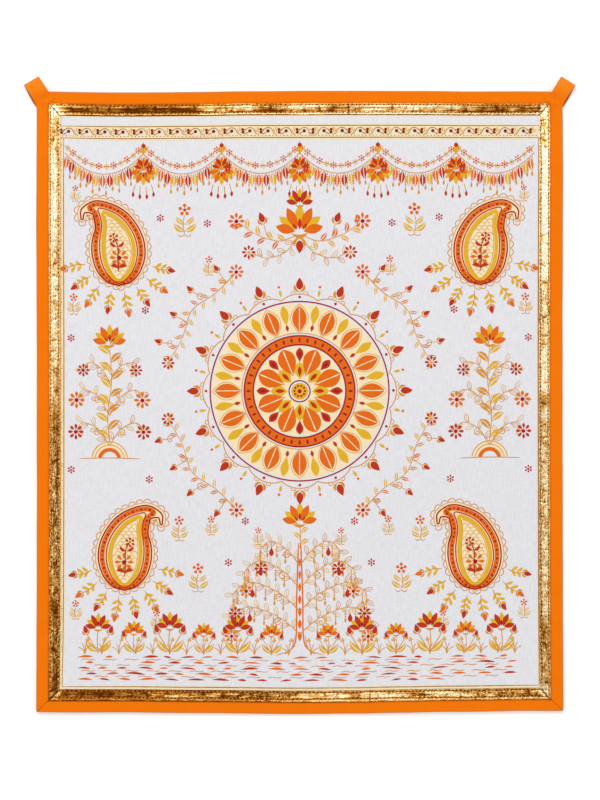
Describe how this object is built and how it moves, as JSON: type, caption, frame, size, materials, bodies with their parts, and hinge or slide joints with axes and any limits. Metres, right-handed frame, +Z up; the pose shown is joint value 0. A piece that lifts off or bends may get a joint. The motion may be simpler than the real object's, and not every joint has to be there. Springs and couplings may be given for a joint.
{
  "type": "pichwai, small printed cloth wall hanging",
  "caption": "Printed cotton wall hanging with a bound edge, a foil ribbon frame inside it and a tape loop at each top corner.",
  "frame": {"origin": "middle of the bound cloth's top edge, on the wall plane at the back", "axes": "+Z up, +X to the viewer's right, -Y out of the printed face, +Y into the wall"},
  "size_m": [0.5848, 0.0073, 0.6769],
  "materials": {
    "printed_cotton": "plain-woven white cotton, screen printed in orange, red, yellow and mustard",
    "orange_cotton": "closely woven plain orange cotton",
    "gold_foil_ribbon": "crumpled bright gold foil on a woven ribbon, machine stitched"
  },
  "bodies": {
    "root": {"panel": "printed_cotton", "binding_top": "orange_cotton", "binding_right": "orange_cotton", "binding_bottom": "orange_cotton", "binding_left": "orange_cotton", "ribbon_top": "gold_foil_ribbon", "ribbon_right": "gold_foil_ribbon", "ribbon_bottom": "gold_foil_ribbon", "ribbon_left": "gold_foil_ribbon", "loop_left": "orange_cotton", "loop_right": "orange_cotton"}
  },
  "joints": []
}
